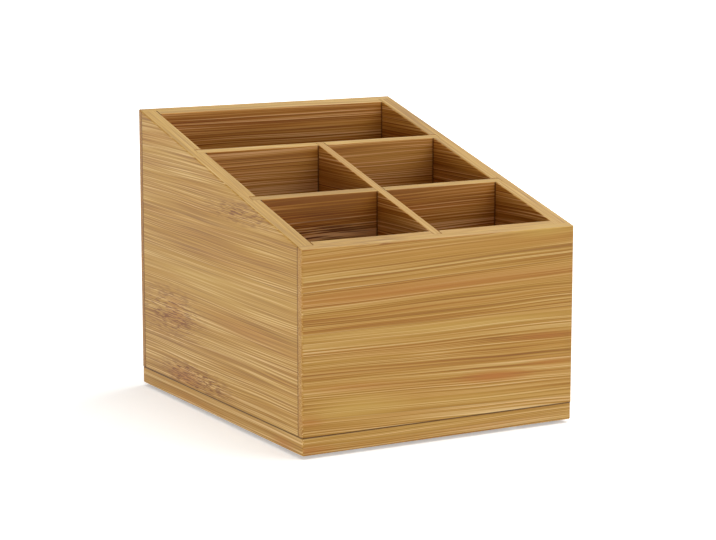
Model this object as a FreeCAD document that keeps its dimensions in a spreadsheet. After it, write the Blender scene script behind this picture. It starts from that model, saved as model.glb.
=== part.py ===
import FreeCAD, Part
import os
import re
import Sketcher

# Bamboo desk organizer with five open bins and a sloping top.
# Frame: +X to the right, +Y to the back, +Z up. The origin is on the desk, under the middle of the box.
# A station is a distance back from the front panel's outer face.

SIZES = {
    # outside of the box; the heights are taken from the base panel's underside
    "organizer_width": 140,
    "organizer_depth": 168,
    "front_height": 90,
    "back_height": 135.5,
    # boards
    "wall_thickness": 8,
    "base_thickness": 8,
    "divider_thickness": 4.3,
    "base_inset": 0.15,
    # bins, front to back; the rear bin takes what is left
    "front_bin_depth": 45.3,
    "middle_bin_depth": 52,
    # joints: rebated front and back panels, grooved walls, one cross lap
    "lip_thickness": 3.9,
    "wall_groove_depth": 4,
    "divider_groove_depth": 3,
    "lap_share": 0.5,
    "groove_clearance": 0.1,
    "end_clearance": 0.2,
    "lap_clearance": 0.2,
    # rounded edges
    "arris_radius": 0.7,
    "corner_ease": 0.3,
    "divider_arris_radius": 0.5,
    "seam_radius": 0.35,
    "joint_line_radius": 0.15,
    # countersunk screws, up through the base into the walls
    "screw_length": 16,
    "screw_diameter": 2.5,
    "screw_head_diameter": 5,
    "screw_point_length": 3,
    "screw_end_margin": 30,
    "screw_sink": 0.2,
    "screw_clearance": 0.05,
    "screw_hole_spare": 1,
    "recess_span": 2.6,
    "recess_width": 0.6,
    "recess_depth": 0.9,
    # round pads under the base
    "pad_diameter": 10,
    "pad_thickness": 1.5,
    "pad_edge_margin": 12,
    "pad_arris_radius": 0.4,
    # how far a cut runs past the board that it opens
    "cut_overrun": 1,
}

# How near an edge must lie to a plane to count as on it, in mm.
NEAR = 0.001

doc = FreeCAD.newDocument("desk_organizer")
sheet = doc.addObject("Spreadsheet::Sheet", "sizes")
for row, (name, size) in enumerate(SIZES.items(), start=1):
    sheet.set(f"A{row}", name)
    sheet.set(f"B{row}", str(size))
    sheet.setAlias(f"B{row}", name)
doc.recompute()

# Formulas that several pieces share. The cross dividers are given by the stations of their front faces.
SLOPE = "(back_height - front_height) / organizer_depth"
FRONT_CROSS = "wall_thickness + front_bin_depth"
REAR_CROSS = f"{FRONT_CROSS} + divider_thickness + middle_bin_depth"
SIDE_LENGTH = "organizer_depth - 2 * lip_thickness"
FIRST_SCREW = "screw_end_margin"
CORNER_RADIUS = "arris_radius + corner_ease"
LAP_HEIGHT = f"lap_share * (front_height - base_thickness + {SLOPE} * ({FRONT_CROSS}))"
GROOVE_PLAY = "groove_clearance / 2"
BASE_TOP = "pad_thickness + base_thickness"
PILOT_DEPTH = "screw_length + screw_sink - base_thickness + screw_hole_spare"
PILOT_RADIUS = "screw_diameter / 2 + screw_clearance"


def expression(formula):
    """The formula as an object reads it, with every name taken from the sheet."""
    return re.sub(r"[a-z]\w*", r"sizes.\g<0>", formula)


def number(formula):
    """The formula's value in mm."""
    return float(sheet.evalExpression(expression(formula)))


def top_at(station):
    """Height of the sloping top above the base board, at a station."""
    return f"front_height - base_thickness + {SLOPE} * ({station})"


def new_body(label, x, y, z):
    """A board's body, placed by formulas."""
    body = doc.addObject("PartDesign::Body", label)
    body.Label = label
    for axis, formula in (("x", x), ("y", y), ("z", z)):
        if formula != "0":
            body.setExpression(f"Placement.Base.{axis}", expression(formula))
    return body


def origin_plane(body, role):
    return next(feature for feature in body.Origin.OriginFeatures if feature.Role == role)


def new_sketch(body, name, role):
    sketch = body.newObject("Sketcher::SketchObject", name)
    sketch.AttachmentSupport = (origin_plane(body, role), [""])
    sketch.MapMode = "FlatFace"
    return sketch


def hold_point(sketch, line, point, x, y):
    """Holds one point of the sketch by a formula for each direction."""
    for kind, formula, axis in (("DistanceX", x, -2), ("DistanceY", y, -1)):
        if formula == "0":
            sketch.addConstraint(Sketcher.Constraint("PointOnObject", line, point, axis))
        else:
            held = Sketcher.Constraint(kind, -1, 1, line, point, number(formula))
            index = sketch.addConstraint(held)
            sketch.setExpression(f"Constraints[{index}]", expression(formula))


def draw_outline(sketch, corners):
    """Draws a closed outline of straight lines through corners given as pairs of formulas."""
    first = sketch.GeometryCount
    places = [FreeCAD.Vector(number(x), number(y), 0) for x, y in corners]
    for place, following in zip(places, places[1:] + places[:1]):
        sketch.addGeometry(Part.LineSegment(place, following), False)
    for step in range(len(corners)):
        line = first + step
        following = first + (step + 1) % len(corners)
        sketch.addConstraint(Sketcher.Constraint("Coincident", line, 2, following, 1))
        hold_point(sketch, line, 1, *corners[step])


def rectangle(x_low, x_high, y_low, y_high):
    return [(x_low, y_low), (x_high, y_low), (x_high, y_high), (x_low, y_high)]


def draw_circle(sketch, x, y, radius):
    centre = FreeCAD.Vector(number(x), number(y), 0)
    up = FreeCAD.Vector(0, 0, 1)
    line = sketch.addGeometry(Part.Circle(centre, up, number(radius)), False)
    hold_point(sketch, line, 3, x, y)
    index = sketch.addConstraint(Sketcher.Constraint("Radius", line, number(radius)))
    sketch.setExpression(f"Constraints[{index}]", expression(radius))


def pad(body, name, role, outlines, length):
    """Pads outlines drawn on an origin plane towards the plane's normal."""
    sketch = new_sketch(body, f"{name}_outline", role)
    for corners in outlines:
        draw_outline(sketch, corners)
    feature = body.newObject("PartDesign::Pad", name)
    feature.Profile = sketch
    feature.setExpression("Length", expression(length))
    doc.recompute()
    return feature


def pocket(body, name, sketch, along_normal, depth=None):
    """Cuts a sketch out of the body, right through or to a depth, and tests that it did cut."""
    before = body.Shape.Volume
    feature = body.newObject("PartDesign::Pocket", name)
    feature.Profile = sketch
    feature.Reversed = along_normal
    if depth is None:
        feature.Type = "ThroughAll"
    else:
        feature.setExpression("Length", expression(depth))
    doc.recompute()
    if body.Shape.Volume >= before:
        raise RuntimeError(f"{name} cuts nothing out of {body.Label}")
    return feature


def cut_outlines(body, name, role, outlines, along_normal):
    """Cuts outlines drawn on an origin plane right through the body."""
    sketch = new_sketch(body, f"{name}_outline", role)
    for corners in outlines:
        draw_outline(sketch, corners)
    return pocket(body, name, sketch, along_normal)


def drill_pilots(body, places):
    """Pilot holes for the base screws, up into a wall from its bottom edge."""
    sketch = new_sketch(body, "pilot_circles", "XY_Plane")
    for x, y in places:
        draw_circle(sketch, x, y, PILOT_RADIUS)
    return pocket(body, "pilot_holes", sketch, True, PILOT_DEPTH)


def round_edges(body, name, radius, rule):
    """Rounds the edges of the body's last feature that the rule picks."""
    base = body.Tip
    picked = [f"Edge{place}" for place, edge in enumerate(base.Shape.Edges, start=1) if rule(edge)]
    if not picked:
        raise RuntimeError(f"{name} finds no edge on {body.Label}")
    feature = body.newObject("PartDesign::Fillet", name)
    feature.Base = (base, picked)
    feature.setExpression("Radius", expression(radius))
    doc.recompute()
    return feature


def within(low, high, start, end):
    """True if a span of an edge lies between two places."""
    return low >= start - NEAR and high <= end + NEAR


def spans_x(edge, start, end):
    return within(edge.BoundBox.XMin, edge.BoundBox.XMax, start, end)


def spans_y(edge, start, end):
    return within(edge.BoundBox.YMin, edge.BoundBox.YMax, start, end)


def spans_z(edge, start, end):
    return within(edge.BoundBox.ZMin, edge.BoundBox.ZMax, start, end)


def on_slope(edge, station):
    """True if the edge lies in the sloping top of a board whose local Y starts at the station."""
    start = number(station)
    low = number(top_at("0"))
    slope = number(SLOPE)
    return all(abs(end.Z - low - slope * (start + end.Y)) < NEAR for end in edge.Vertexes)


def is_upright(edge):
    return spans_x(edge, edge.BoundBox.XMin, edge.BoundBox.XMin) \
        and spans_y(edge, edge.BoundBox.YMin, edge.BoundBox.YMin)


def make_base_panel():
    """The board that the walls stand on, a hair smaller than the box, with countersunk holes."""
    width = "organizer_width - 2 * base_inset"
    depth = "organizer_depth - 2 * base_inset"
    left = "base_inset - organizer_width / 2"
    front = "base_inset - organizer_depth / 2"
    body = new_body("base_panel", left, front, "pad_thickness")
    pad(body, "board", "XY_Plane", [rectangle("0", width, "0", depth)], "base_thickness")

    sketch = new_sketch(body, "screw_places", "XY_Plane")
    edge_row = "wall_thickness / 2 - base_inset"
    for x in (f"{FIRST_SCREW} - base_inset", f"organizer_width - {FIRST_SCREW} - base_inset"):
        for y in (edge_row, f"{depth} - ({edge_row})"):
            draw_circle(sketch, x, y, PILOT_RADIUS)
    for y in (f"{FIRST_SCREW} - base_inset", f"organizer_depth - {FIRST_SCREW} - base_inset"):
        for x in (edge_row, f"{width} - ({edge_row})"):
            draw_circle(sketch, x, y, PILOT_RADIUS)
    doc.recompute()
    before = body.Shape.Volume
    hole = body.newObject("PartDesign::Hole", "screw_holes")
    hole.Profile = sketch
    hole.Reversed = True
    hole.DepthType = "ThroughAll"
    hole.ThreadType = "None"
    hole.HoleCutType = "Countersink"
    hole.HoleCutCustomValues = True
    hole.HoleCutCountersinkAngle = 90
    hole.setExpression("Diameter", expression(f"2 * ({PILOT_RADIUS})"))
    sunk = "screw_head_diameter + 2 * screw_sink + 2 * screw_clearance"
    hole.setExpression("HoleCutDiameter", expression(sunk))
    doc.recompute()
    if body.Shape.Volume >= before:
        raise RuntimeError("the base panel's screw holes cut nothing")

    right_edge = number(width)
    rear_edge = number(depth)
    thickness = number("base_thickness")
    radius = number(CORNER_RADIUS)

    def is_corner(edge):
        at_side = spans_x(edge, 0, 0) or spans_x(edge, right_edge, right_edge)
        at_end = spans_y(edge, 0, 0) or spans_y(edge, rear_edge, rear_edge)
        return at_side and at_end

    def is_rim(edge, height):
        at_side = spans_x(edge, 0, radius) or spans_x(edge, right_edge - radius, right_edge)
        at_end = spans_y(edge, 0, radius) or spans_y(edge, rear_edge - radius, rear_edge)
        return spans_z(edge, height, height) and (at_side or at_end)

    round_edges(body, "upright_corners", CORNER_RADIUS, is_corner)
    round_edges(body, "lower_arris", "arris_radius", lambda edge: is_rim(edge, 0))
    round_edges(body, "seam_arris", "seam_radius", lambda edge: is_rim(edge, thickness))
    return body


def make_end_panel(label, station, is_front):
    """The front or back wall: full width, with a thin lip at each end that covers a side wall's edge."""
    body = new_body(label, "-organizer_width / 2", f"{station} - organizer_depth / 2", BASE_TOP)
    profile = [
        ("0", "0"),
        ("wall_thickness", "0"),
        ("wall_thickness", top_at(f"{station} + wall_thickness")),
        ("0", top_at(station)),
    ]
    pad(body, "board", "YZ_Plane", [profile], "organizer_width")

    if is_front:
        inner_low, inner_high = "lip_thickness", "wall_thickness + cut_overrun"
    else:
        inner_low, inner_high = "-cut_overrun", "wall_thickness - lip_thickness"
    left_rebate = rectangle("-cut_overrun", "wall_thickness", inner_low, inner_high)
    right_start = "organizer_width - wall_thickness"
    right_rebate = rectangle(right_start, "organizer_width + cut_overrun", inner_low, inner_high)
    cut_outlines(body, "rebates", "XY_Plane", [left_rebate, right_rebate], True)

    if is_front:
        groove_left = f"organizer_width / 2 - divider_thickness / 2 - {GROOVE_PLAY}"
        groove_right = f"organizer_width / 2 + divider_thickness / 2 + {GROOVE_PLAY}"
        groove_floor = "wall_thickness - wall_groove_depth"
        groove = rectangle(groove_left, groove_right, groove_floor, "wall_thickness + cut_overrun")
        cut_outlines(body, "centre_groove", "XY_Plane", [groove], True)

    screws = (FIRST_SCREW, f"organizer_width - {FIRST_SCREW}")
    drill_pilots(body, [(x, "wall_thickness / 2") for x in screws])

    width = number("organizer_width")
    thickness = number("wall_thickness")
    lip = number("lip_thickness")
    radius = number(CORNER_RADIUS)
    outer = 0 if is_front else thickness
    inner = thickness - outer
    outer_span = (0, radius) if is_front else (thickness - radius, thickness)
    lip_edge = lip if is_front else thickness - lip

    def at_end(edge, reach):
        return spans_x(edge, 0, reach) or spans_x(edge, width - reach, width)

    def is_free(edge):
        return at_end(edge, radius) or spans_y(edge, *outer_span)

    def is_top_arris(edge):
        return on_slope(edge, station) and (is_free(edge) or spans_y(edge, inner, inner))

    round_edges(body, "upright_corners", CORNER_RADIUS,
                lambda edge: is_upright(edge) and at_end(edge, 0) and spans_y(edge, outer, outer))
    round_edges(body, "top_arris", "arris_radius", is_top_arris)
    round_edges(body, "seam_arris", "seam_radius",
                lambda edge: spans_z(edge, 0, 0) and is_free(edge))
    round_edges(body, "joint_lines", "joint_line_radius",
                lambda edge: is_upright(edge) and at_end(edge, 0) and spans_y(edge, lip_edge, lip_edge))
    return body


def make_side_panel(label, left, is_left):
    """A side wall between the lips, with two grooves in its inner face for the cross dividers."""
    body = new_body(label, left, "lip_thickness - organizer_depth / 2", BASE_TOP)
    profile = [
        ("0", "0"),
        (SIDE_LENGTH, "0"),
        (SIDE_LENGTH, top_at("organizer_depth - lip_thickness")),
        ("0", top_at("lip_thickness")),
    ]
    pad(body, "board", "YZ_Plane", [profile], "wall_thickness")

    if is_left:
        groove_span = ("wall_thickness - wall_groove_depth", "wall_thickness + cut_overrun")
    else:
        groove_span = ("-cut_overrun", "wall_groove_depth")
    grooves = []
    for station in (FRONT_CROSS, REAR_CROSS):
        groove_front = f"{station} - lip_thickness - {GROOVE_PLAY}"
        groove_back = f"{station} - lip_thickness + divider_thickness + {GROOVE_PLAY}"
        grooves.append(rectangle(*groove_span, groove_front, groove_back))
    cut_outlines(body, "divider_grooves", "XY_Plane", grooves, True)

    stations = (f"{FIRST_SCREW} - lip_thickness", f"organizer_depth - {FIRST_SCREW} - lip_thickness")
    drill_pilots(body, [("wall_thickness / 2", y) for y in stations])

    thickness = number("wall_thickness")
    length = number(SIDE_LENGTH)
    outer = 0 if is_left else thickness

    def is_top_arris(edge):
        on_a_face = spans_x(edge, 0, 0) or spans_x(edge, thickness, thickness)
        return on_slope(edge, "lip_thickness") and on_a_face

    round_edges(body, "top_arris", "arris_radius", is_top_arris)
    round_edges(body, "seam_arris", "seam_radius",
                lambda edge: spans_z(edge, 0, 0) and spans_x(edge, outer, outer))
    round_edges(body, "joint_lines", "joint_line_radius",
                lambda edge: is_upright(edge) and spans_x(edge, outer, outer)
                and (spans_y(edge, 0, 0) or spans_y(edge, length, length)))
    return body


def make_cross_divider(label, station, is_front):
    """A thin board across the box. The front one is slotted from above, the rear one is grooved."""
    reach = "wall_groove_depth - end_clearance"
    left = f"wall_thickness - ({reach}) - organizer_width / 2"
    body = new_body(label, left, f"{station} - organizer_depth / 2", BASE_TOP)
    profile = [
        ("0", "0"),
        ("divider_thickness", "0"),
        ("divider_thickness", top_at(f"{station} + divider_thickness")),
        ("0", top_at(station)),
    ]
    length = f"organizer_width - 2 * wall_thickness + 2 * ({reach})"
    pad(body, "board", "YZ_Plane", [profile], length)

    middle = f"({length}) / 2"
    slot_left = f"{middle} - divider_thickness / 2 - {GROOVE_PLAY}"
    slot_right = f"{middle} + divider_thickness / 2 + {GROOVE_PLAY}"
    if is_front:
        slot_top = f"{top_at(station + ' + divider_thickness')} + cut_overrun"
        slot = rectangle(slot_left, slot_right, LAP_HEIGHT, slot_top)
        cut_outlines(body, "lap_slot", "XZ_Plane", [slot], False)
    else:
        groove = rectangle(slot_left, slot_right, "-cut_overrun", "divider_groove_depth")
        cut_outlines(body, "centre_groove", "XY_Plane", [groove], True)

    thickness = number("divider_thickness")

    def is_top_arris(edge):
        on_a_face = spans_y(edge, 0, 0) or spans_y(edge, thickness, thickness)
        return on_slope(edge, station) and on_a_face

    round_edges(body, "top_arris", "divider_arris_radius", is_top_arris)
    return body


def make_centre_divider():
    """The thin board from front to back, notched from below where it crosses the front cross divider."""
    start = "wall_thickness - wall_groove_depth + end_clearance"
    end = f"{REAR_CROSS} + divider_groove_depth - end_clearance"
    body = new_body("centre_divider", "-divider_thickness / 2", f"{start} - organizer_depth / 2", BASE_TOP)
    length = f"{end} - ({start})"
    profile = [
        ("0", "0"),
        (length, "0"),
        (length, top_at(end)),
        ("0", top_at(start)),
    ]
    pad(body, "board", "YZ_Plane", [profile], "divider_thickness")

    notch_front = f"{FRONT_CROSS} - ({start}) - {GROOVE_PLAY}"
    notch_back = f"{FRONT_CROSS} - ({start}) + divider_thickness + {GROOVE_PLAY}"
    notch = rectangle(notch_front, notch_back, "-cut_overrun", f"{LAP_HEIGHT} + lap_clearance")
    cut_outlines(body, "lap_notch", "YZ_Plane", [notch], True)

    thickness = number("divider_thickness")

    def is_top_arris(edge):
        on_a_face = spans_x(edge, 0, 0) or spans_x(edge, thickness, thickness)
        return on_slope(edge, start) and on_a_face

    round_edges(body, "top_arris", "divider_arris_radius", is_top_arris)
    return body


def turn_screw(body, name, x, y):
    """One countersunk screw, head down, with a cross recess. Its thread is left plain."""
    shank = "screw_diameter / 2"
    head = "screw_head_diameter / 2"
    bottom = "screw_sink"
    profile = [
        ("0", bottom),
        (head, bottom),
        (shank, f"{bottom} + {head} - {shank}"),
        (shank, f"{bottom} + screw_length - screw_point_length"),
        ("0", f"{bottom} + screw_length"),
    ]
    sketch = new_sketch(body, f"{name}_profile", "XZ_Plane")
    sketch.setExpression("AttachmentOffset.Base.x", expression(x))
    sketch.setExpression("AttachmentOffset.Base.z", expression(f"-({y})"))
    draw_outline(sketch, profile)
    feature = body.newObject("PartDesign::Revolution", name)
    feature.Profile = sketch
    feature.ReferenceAxis = (sketch, ["V_Axis"])
    feature.Angle = 360
    doc.recompute()

    recess = new_sketch(body, f"{name}_recess_outline", "XY_Plane")
    recess.setExpression("AttachmentOffset.Base.x", expression(x))
    recess.setExpression("AttachmentOffset.Base.y", expression(y))
    far = "recess_span / 2"
    wide = "recess_width / 2"
    draw_outline(recess, [
        (wide, wide), (far, wide), (far, f"-{wide}"), (wide, f"-{wide}"),
        (wide, f"-{far}"), (f"-{wide}", f"-{far}"), (f"-{wide}", f"-{wide}"), (f"-{far}", f"-{wide}"),
        (f"-{far}", wide), (f"-{wide}", wide), (f"-{wide}", far), (wide, far),
    ])
    pocket(body, f"{name}_recess", recess, True, f"{bottom} + recess_depth")


def make_base_screws():
    """Two screws are turned, one under the front wall and one under the right wall, and mirrored."""
    body = new_body("base_screws", "0", "0", "pad_thickness")
    body.AllowCompound = True
    row_x = f"organizer_width / 2 - {FIRST_SCREW}"
    row_y = f"organizer_depth / 2 - {FIRST_SCREW}"
    turn_screw(body, "front_screw", row_x, "wall_thickness / 2 - organizer_depth / 2")
    turn_screw(body, "side_screw", "organizer_width / 2 - wall_thickness / 2", f"-({row_y})")
    for name, role in (("across_width", "YZ_Plane"), ("across_depth", "XZ_Plane")):
        mirrored = body.newObject("PartDesign::Mirrored", name)
        mirrored.TransformMode = "Whole shape"
        mirrored.MirrorPlane = (origin_plane(body, role), [""])
        body.Tip = mirrored
        doc.recompute()
    return body


def make_foot_pad(label, side, end):
    """A round pad under one corner of the base; side and end are -1 or 1."""
    x = f"{side} * (organizer_width / 2 - pad_edge_margin)"
    y = f"{end} * (organizer_depth / 2 - pad_edge_margin)"
    body = new_body(label, x, y, "0")
    sketch = new_sketch(body, "disc_outline", "XY_Plane")
    draw_circle(sketch, "0", "0", "pad_diameter / 2")
    disc = body.newObject("PartDesign::Pad", "disc")
    disc.Profile = sketch
    disc.setExpression("Length", expression("pad_thickness"))
    doc.recompute()
    round_edges(body, "lower_arris", "pad_arris_radius", lambda edge: spans_z(edge, 0, 0))
    return body


side_left = "-organizer_width / 2"
side_right = "organizer_width / 2 - wall_thickness"
boards = [
    make_base_panel(),
    make_end_panel("front_panel", "0", True),
    make_end_panel("back_panel", "organizer_depth - wall_thickness", False),
    make_side_panel("left_side_panel", side_left, True),
    make_side_panel("right_side_panel", side_right, False),
    make_cross_divider("rear_cross_divider", REAR_CROSS, False),
    make_cross_divider("front_cross_divider", FRONT_CROSS, True),
    make_centre_divider(),
]
screws = make_base_screws()
pads = [
    make_foot_pad(f"foot_pad_{end_name}_{side_name}", side, end)
    for end_name, end in (("front", -1), ("rear", 1))
    for side_name, side in (("left", -1), ("right", 1))
]

doc.recompute()
failed = [item.Name for item in doc.Objects if {"Invalid", "Error"} & set(item.State)]
if failed:
    raise RuntimeError(f"these objects failed: {failed}")
pieces = boards + pads + [screws]
for piece in pieces:
    if piece.Shape.isNull() or not piece.Shape.isValid():
        raise RuntimeError(f"{piece.Label} has no valid shape")
    solids = 8 if piece is screws else 1
    if len(piece.Shape.Solids) != solids:
        raise RuntimeError(f"{piece.Label} has {len(piece.Shape.Solids)} solids")

os.makedirs("parts", exist_ok=True)
for piece in pieces:
    piece.Shape.exportStep(f"parts/{piece.Label}.step")
    box = piece.Shape.BoundBox
    low = f"({box.XMin:.2f}, {box.YMin:.2f}, {box.ZMin:.2f})"
    high = f"({box.XMax:.2f}, {box.YMax:.2f}, {box.ZMax:.2f})"
    print(f"{piece.Label}: {piece.Shape.Volume:.1f} mm3, from {low} to {high}")
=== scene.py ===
# %% [markdown]
# # A bamboo desk organizer with five open bins
# The real thing is a small open box of laminated bamboo: a base board, four walls whose top slopes down
# to the front, and three thin dividers. The construction comes in as a fixed frame, in metres, with +Z up
# and the front towards -Y. This lesson models the boards again as a joiner makes them, with eased edges,
# and gives them grain, a clear satin coat and studio light.

# %% Load the fixed frame
import math
import bpy
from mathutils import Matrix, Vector


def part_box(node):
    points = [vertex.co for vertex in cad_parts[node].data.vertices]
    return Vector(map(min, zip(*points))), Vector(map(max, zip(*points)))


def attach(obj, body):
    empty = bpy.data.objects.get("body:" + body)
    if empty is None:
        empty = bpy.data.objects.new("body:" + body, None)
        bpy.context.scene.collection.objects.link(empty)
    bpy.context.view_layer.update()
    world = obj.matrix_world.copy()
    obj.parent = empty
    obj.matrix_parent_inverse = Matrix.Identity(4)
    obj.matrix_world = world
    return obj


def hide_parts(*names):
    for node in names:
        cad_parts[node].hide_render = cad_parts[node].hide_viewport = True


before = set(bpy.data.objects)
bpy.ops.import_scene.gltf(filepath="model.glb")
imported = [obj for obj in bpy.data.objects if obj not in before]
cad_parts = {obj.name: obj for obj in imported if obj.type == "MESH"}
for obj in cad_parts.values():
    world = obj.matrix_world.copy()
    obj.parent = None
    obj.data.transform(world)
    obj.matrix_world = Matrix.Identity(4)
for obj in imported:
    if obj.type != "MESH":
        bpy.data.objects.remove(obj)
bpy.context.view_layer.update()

MM = 0.001

# %% [markdown]
# ## The sizes that all boards share
# Every board is cut to the same sloping top, so its plane is worked out once. The walls stand on the base
# board, whose upper face is the foot of every other board. The sizes are those of the frame, in
# millimetres, and places are counted from the middle of the box and up from the desk.

# %% Shared sizes
HALF_WIDTH = 70.0     # from the middle to a side wall's outer face
HALF_DEPTH = 84.0     # and to the front and back faces
BOARD = 8.0           # thickness of the walls
INNER_WIDTH = HALF_WIDTH - BOARD
INNER_DEPTH = HALF_DEPTH - BOARD
FOOT = 9.5            # upper face of the base board
FRONT_TOP = 91.5      # height of the top plane at the front face
BACK_TOP = 137.0      # and at the back face
SLOPE = (BACK_TOP - FRONT_TOP) / (2 * HALF_DEPTH)


def top_at(y):
    """Height of the sloping top above the desk, in mm."""
    return FRONT_TOP + SLOPE * (y + HALF_DEPTH)


print("top over the middle of the box:", top_at(0), "mm")

# %% [markdown]
# ## A blank board
# A joiner starts from a blank that is planed to thickness and sawn to length. Here it is a cube
# primitive, drawn out to the board's box in edit mode, so that the object itself stays at the origin and
# its place is in its mesh. One slanting cut with Bisect, filled, then gives the blank its sloping top.

# %% Blanks and the sloping cut
TALL = 140.0   # mm, a blank's upper end before the slope is cut


def take(piece):
    """Picks up one piece alone, so that the next step works on nothing else."""
    bpy.ops.object.select_all(action="DESELECT")
    piece.select_set(True)
    bpy.context.view_layer.objects.active = piece


def blank(name, low, high):
    """A plain block between two corners in mm, shaped in edit mode."""
    bpy.ops.object.select_all(action="DESELECT")
    bpy.ops.mesh.primitive_cube_add(size=1)
    piece = bpy.context.object
    piece.name = name
    bpy.ops.object.mode_set(mode="EDIT")
    bpy.ops.mesh.select_all(action="SELECT")
    bpy.ops.transform.resize(value=[(b - a) * MM for a, b in zip(low, high)])
    bpy.ops.transform.translate(value=[(a + b) / 2 * MM for a, b in zip(low, high)])
    bpy.ops.object.mode_set(mode="OBJECT")
    return piece


def cut_to_slope(piece):
    """Takes away all that stands above the sloping top."""
    take(piece)
    bpy.ops.object.mode_set(mode="EDIT")
    bpy.ops.mesh.select_all(action="SELECT")
    bpy.ops.mesh.bisect(plane_co=(0, 0, top_at(0) * MM), plane_no=(0, -SLOPE, 1),
                        use_fill=True, clear_outer=True)
    bpy.ops.object.mode_set(mode="OBJECT")


print("the top slopes by", round(math.degrees(math.atan(SLOPE)), 2), "degrees")

# %% [markdown]
# ## Rebates, grooves and slots
# The boards hold one another: the front and back walls are rebated over the side walls' ends, and the
# dividers' ends sit in grooves. A router takes each of these away as a straight block, and so does a
# Boolean modifier with a block as its cutter. Extruding faces inwards would leave thin skins where a
# groove runs out at the top.

# %% One straight cut
UNDER = 0.0     # mm, where a cut starts that goes through a board from below
OVER = 150.0    # and where it ends above the board
OVERRUN = 1.0   # how far a cut runs past the face that it opens
PLAY = 0.05     # room beside a divider in its groove, on each side
END_GAP = 0.2   # and room at its end


def rout(piece, low, high):
    """Cuts the block between two corners in mm out of a board."""
    cutter = blank("cutter", low, high)
    take(piece)
    bpy.ops.object.modifier_add(type="BOOLEAN")
    cut = piece.modifiers[-1]
    cut.operation = "DIFFERENCE"
    cut.solver = "EXACT"
    cut.object = cutter
    bpy.ops.object.modifier_apply(modifier=cut.name)
    bpy.data.objects.remove(cutter, do_unlink=True)


print("a groove is wider than its divider by", 2 * PLAY, "mm")

# %% [markdown]
# ## Eased edges: finding them
# No edge of the real box is sharp: the top arrises are sanded to less than a millimetre, the upright
# corners a little more, and a fine groove is left where walls and base meet. By hand each edge would be
# clicked. In code an edge is found by where it lies: at the top, at the foot or upright, and at a given x
# or y.

# %% Finding edges
NEAR = 0.01    # mm, how exactly an edge has to lie at its place
RISE = 5.0     # mm, the least height of an upright edge


def lies(ends, where, place):
    """True if an edge is at the top, at the foot or upright, and at the place given for x and y."""
    if any(abs(getattr(end, axis) - value) > NEAR for end in ends for axis, value in place.items()):
        return False
    if where == "upright":
        return abs(ends[0].z - ends[1].z) > RISE
    heights = [top_at(end.y) if where == "top" else FOOT for end in ends]
    return all(abs(end.z - height) < NEAR for end, height in zip(ends, heights))


print("edges are found to within", NEAR, "mm")

# %% [markdown]
# ## Eased edges: rounding them
# A Bevel modifier rounds all of a board's edges in one go when each carries its own bevel weight, which
# keeps the corners clean. Its width is how far the rounding reaches into the faces: the radius itself on a
# square edge, more on the keen edge that the slope climbs to, and less on the blunt edge where it begins.
# Weighted normals then keep the wide faces flat to the eye, so that only the rounding catches the light.

# %% Rounding edges
WIDEST = 1.0         # mm, the bevel's width where its weight is 1
ROUND_STEPS = 6      # faces across a rounded edge
SMOOTH_BELOW = 35    # degrees between two faces up to which they are shaded as one
TILT = math.atan(SLOPE)
KEEN = 1 / math.tan((math.pi / 2 - TILT) / 2)    # reach for each mm of radius where the slope ends
BLUNT = 1 / math.tan((math.pi / 2 + TILT) / 2)   # and where it begins
print("reach of a 1 mm radius:", round(KEEN, 3), round(BLUNT, 3))


def ease(piece, rules):
    """Rounds the edges that the rules name, given as where, place and reach in mm."""
    weights = piece.data.attributes.new("bevel_weight_edge", "FLOAT", "EDGE")
    eased = 0
    for edge in piece.data.edges:
        ends = [piece.data.vertices[number].co / MM for number in edge.vertices]
        for where, place, reach in rules:
            if lies(ends, where, place):
                weights.data[edge.index].value = reach / WIDEST
                eased += 1
    take(piece)
    bpy.ops.object.modifier_add(type="BEVEL")
    rounding = piece.modifiers[-1]
    rounding.limit_method = "WEIGHT"
    rounding.width = WIDEST * MM
    rounding.segments = ROUND_STEPS
    bpy.ops.object.modifier_apply(modifier=rounding.name)
    bpy.ops.object.shade_smooth_by_angle(angle=math.radians(SMOOTH_BELOW))
    bpy.ops.object.modifier_add(type="WEIGHTED_NORMAL")
    piece.modifiers[-1].weight = 100
    piece.modifiers[-1].keep_sharp = True
    bpy.ops.object.modifier_apply(modifier=piece.modifiers[-1].name)
    print(f"{piece.name}: {eased} edges eased, {len(piece.data.polygons)} faces")


# %% [markdown]
# ## The front and back walls
# Each spans the whole width. At both ends it keeps only a 3.9 mm lip, which laps over a side wall's end,
# so the joint shows on the side as one fine upright line. The front wall is also grooved for the middle
# divider.

# %% Front and back walls
LIP = 80.1             # mm from the middle to the joint between a lip and a side wall
HALF_DIVIDER = 2.15    # mm, half the thickness of a divider
HALF_GROOVE = HALF_DIVIDER + PLAY
MIDDLE_FRONT = -79.8   # front end of the middle divider
ARRIS = 0.72           # mm, rounding of the top edges
CORNER = 1.0           # of the upright outer corners
SEAM = 0.4             # of the groove at the foot of the walls
JOINT = 0.25           # and of the fine line between lip and side wall

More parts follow.
